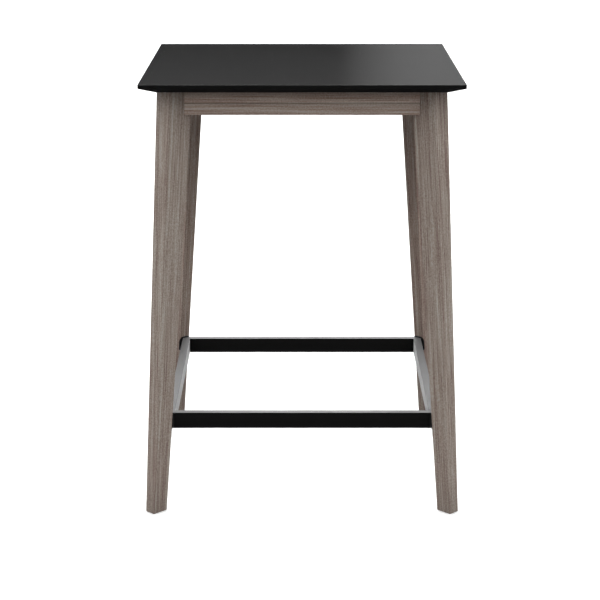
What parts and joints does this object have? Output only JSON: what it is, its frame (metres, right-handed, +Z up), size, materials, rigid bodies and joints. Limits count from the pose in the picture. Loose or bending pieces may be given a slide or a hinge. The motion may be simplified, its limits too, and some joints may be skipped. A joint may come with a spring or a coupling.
{
  "type": "pub table",
  "caption": "Square bar-height table: thin black top with an undercut edge, splayed tapered wood legs set on the diagonals, aprons, and a black tube footrest ring.",
  "frame": {"origin": "on the floor, under the centre of the top", "axes": "+Z up; X and Y along the sides of the square top; the picture looks along +Y"},
  "size_m": [0.774, 0.774, 1.066],
  "materials": {
    "black_top": "satin black",
    "grey_brown_wood": "grey-brown stain, matte, straight grain",
    "black_steel": "satin black powder coat",
    "black_screws": "black oxide",
    "zinc_steel": "bright zinc plate",
    "nylon": "dark moulded nylon"
  },
  "bodies": {
    "root": {"apron_front": "grey_brown_wood", "apron_left": "grey_brown_wood", "apron_rear": "grey_brown_wood", "apron_right": "grey_brown_wood", "bracket_screws": "zinc_steel", "corner_bracket_front_left": "zinc_steel", "corner_bracket_front_right": "zinc_steel", "corner_bracket_rear_left": "zinc_steel", "corner_bracket_rear_right": "zinc_steel", "footrest_front": "black_steel", "footrest_left": "black_steel", "footrest_plate_front_left": "black_steel", "footrest_plate_front_right": "black_steel", "footrest_plate_rear_left": "black_steel", "footrest_plate_rear_right": "black_steel", "footrest_rear": "black_steel", "footrest_right": "black_steel", "footrest_screws": "black_screws", "glide_front_left": "nylon", "glide_front_right": "nylon", "glide_rear_left": "nylon", "glide_rear_right": "nylon", "leg_bolt_nuts": "zinc_steel", "leg_bolt_washers": "zinc_steel", "leg_bolts": "zinc_steel", "leg_front_left": "grey_brown_wood", "leg_front_right": "grey_brown_wood", "leg_rear_left": "grey_brown_wood", "leg_rear_right": "grey_brown_wood", "table_top": "black_top", "top_clip_screws": "zinc_steel", "top_clips": "zinc_steel"}
  },
  "joints": []
}
